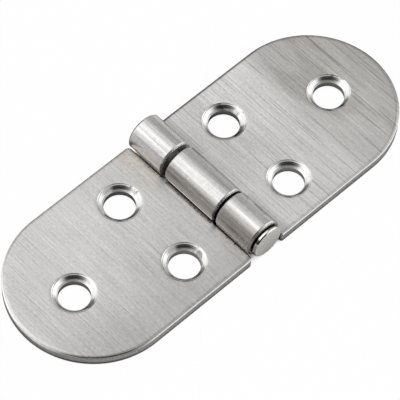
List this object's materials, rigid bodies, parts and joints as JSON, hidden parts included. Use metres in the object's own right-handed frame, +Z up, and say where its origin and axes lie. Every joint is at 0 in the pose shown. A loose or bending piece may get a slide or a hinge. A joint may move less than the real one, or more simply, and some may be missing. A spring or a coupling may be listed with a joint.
{
  "type": "drop leaf table hinge",
  "caption": "Flat-backed flap hinge: round-ended brushed steel leaves with countersunk screw holes, their rolled knuckles turning on a headed pin to fold a table leaf.",
  "frame": {"origin": "point on the flat back under the middle of the pin, with the hinge lying open", "axes": "+X from the leaf with the middle knuckle to the leaf with the outer knuckles, +Y along the pin away from its head, +Z up out of the flat back"},
  "size_m": [0.08, 0.03, 0.0069],
  "materials": {
    "leaf_steel": "brushed along the pin",
    "pin_steel": "turned"
  },
  "bodies": {
    "fixed_side": {"fixed_leaf": "leaf_steel"},
    "swing_side": {"swing_leaf": "leaf_steel", "hinge_pin": "pin_steel"}
  },
  "joints": [
    {"name": "leaf_fold", "type": "hinge", "parent": "fixed_side", "child": "swing_side", "pos_m": [0, 0, 0.00345], "axis": [0, -1, 0], "range_deg": [-80, 180]}
  ]
}
